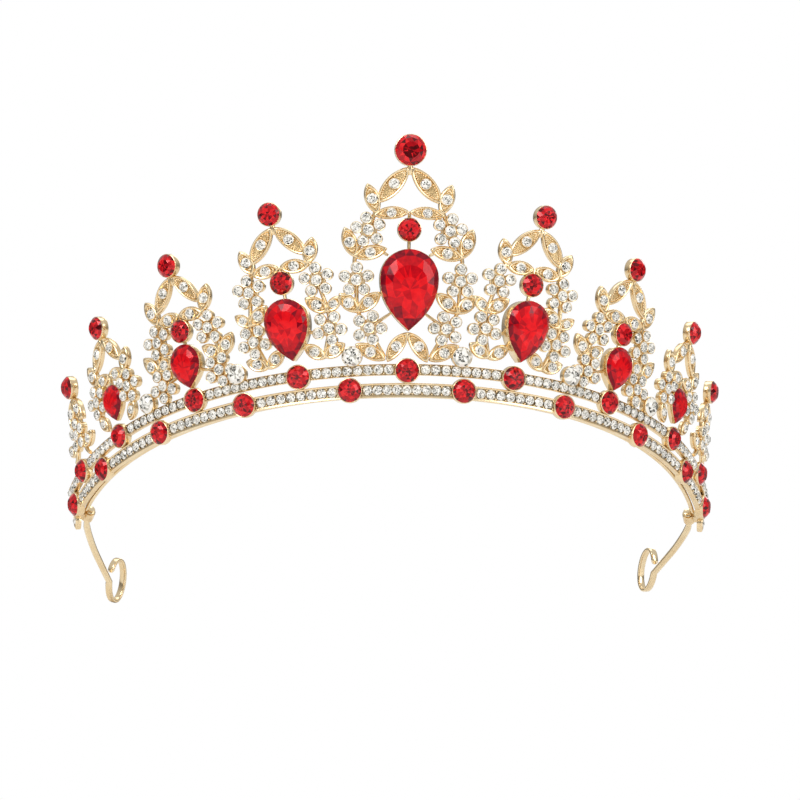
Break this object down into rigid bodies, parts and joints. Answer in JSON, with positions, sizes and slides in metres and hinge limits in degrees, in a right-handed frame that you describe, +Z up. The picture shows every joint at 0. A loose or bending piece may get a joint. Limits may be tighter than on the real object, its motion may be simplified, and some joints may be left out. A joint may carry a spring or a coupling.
{
  "type": "crown",
  "caption": "Half-round crown: leaf and flower crests with pear-shaped and round red stones on a double rail, with clear stones and two wire side arms ending in loops.",
  "frame": {"origin": "bottom centre of the whole crown's box: midway between the left and right sides, midway between front and back, level with the underside of the two side arms' loops", "axes": "+Z up, +X across the crown towards the right-hand side as seen from the front, -Y out of the front"},
  "size_m": [0.1524, 0.0884, 0.0994],
  "materials": {
    "gold": "pale gold plate over a cast alloy, polished, with beaded edges",
    "wire_gold": "pale gold plated wire, satin",
    "red_glass": "foil-backed faceted red glass",
    "clear_glass": "foil-backed faceted clear glass"
  },
  "bodies": {
    "crown_front": {"band_casting": "gold", "crest_centre": "gold", "crest_left_1": "gold", "crest_right_1": "gold", "crest_left_2": "gold", "crest_right_2": "gold", "crest_left_3": "gold", "crest_right_3": "gold", "crest_left_4": "gold", "crest_right_4": "gold", "rim_wire": "wire_gold", "top_stone_centre": "red_glass", "top_stone_left_1": "red_glass", "top_stone_right_1": "red_glass", "top_stone_left_2": "red_glass", "top_stone_right_2": "red_glass", "top_stone_left_3": "red_glass", "top_stone_right_3": "red_glass", "top_stone_left_4": "red_glass", "top_stone_right_4": "red_glass", "second_stone_centre": "red_glass", "second_stone_left_1": "red_glass", "second_stone_right_1": "red_glass", "second_stone_left_2": "red_glass", "second_stone_right_2": "red_glass", "pear_stone_centre": "red_glass", "pear_stone_left_1": "red_glass", "pear_stone_right_1": "red_glass", "pear_stone_left_2": "red_glass", "pear_stone_right_2": "red_glass", "pear_stone_left_3": "red_glass", "pear_stone_right_3": "red_glass", "upper_stone_centre": "red_glass", "upper_stone_left_1": "red_glass", "upper_stone_right_1": "red_glass", "upper_stone_left_2": "red_glass", "upper_stone_right_2": "red_glass", "upper_stone_left_3": "red_glass", "upper_stone_right_3": "red_glass", "upper_stone_left_4": "red_glass", "upper_stone_right_4": "red_glass", "lower_stone_left_0": "red_glass", "lower_stone_right_0": "red_glass", "lower_stone_left_1": "red_glass", "lower_stone_right_1": "red_glass", "lower_stone_left_2": "red_glass", "lower_stone_right_2": "red_glass", "lower_stone_left_3": "red_glass", "lower_stone_right_3": "red_glass", "lower_stone_left_4": "red_glass", "lower_stone_right_4": "red_glass", "clear_stone_left_0": "clear_glass", "clear_stone_right_0": "clear_glass", "clear_stone_left_1": "clear_glass", "clear_stone_right_1": "clear_glass", "clear_stone_left_2": "clear_glass", "clear_stone_right_2": "clear_glass"},
    "left_arm": {"side_arm_left": "wire_gold"},
    "right_arm": {"side_arm_right": "wire_gold"}
  },
  "joints": [
    {"name": "left_arm_swivel", "type": "hinge", "parent": "crown_front", "child": "left_arm", "pos_m": [-0.06957, 0.02081, 0.01909], "axis": [0.2076, -0.8678, 0.4514], "range_deg": [-20, 35]},
    {"name": "right_arm_swivel", "type": "hinge", "parent": "crown_front", "child": "right_arm", "pos_m": [0.06957, 0.02081, 0.01909], "axis": [0.2076, 0.8678, -0.4514], "range_deg": [-37, 18]}
  ]
}
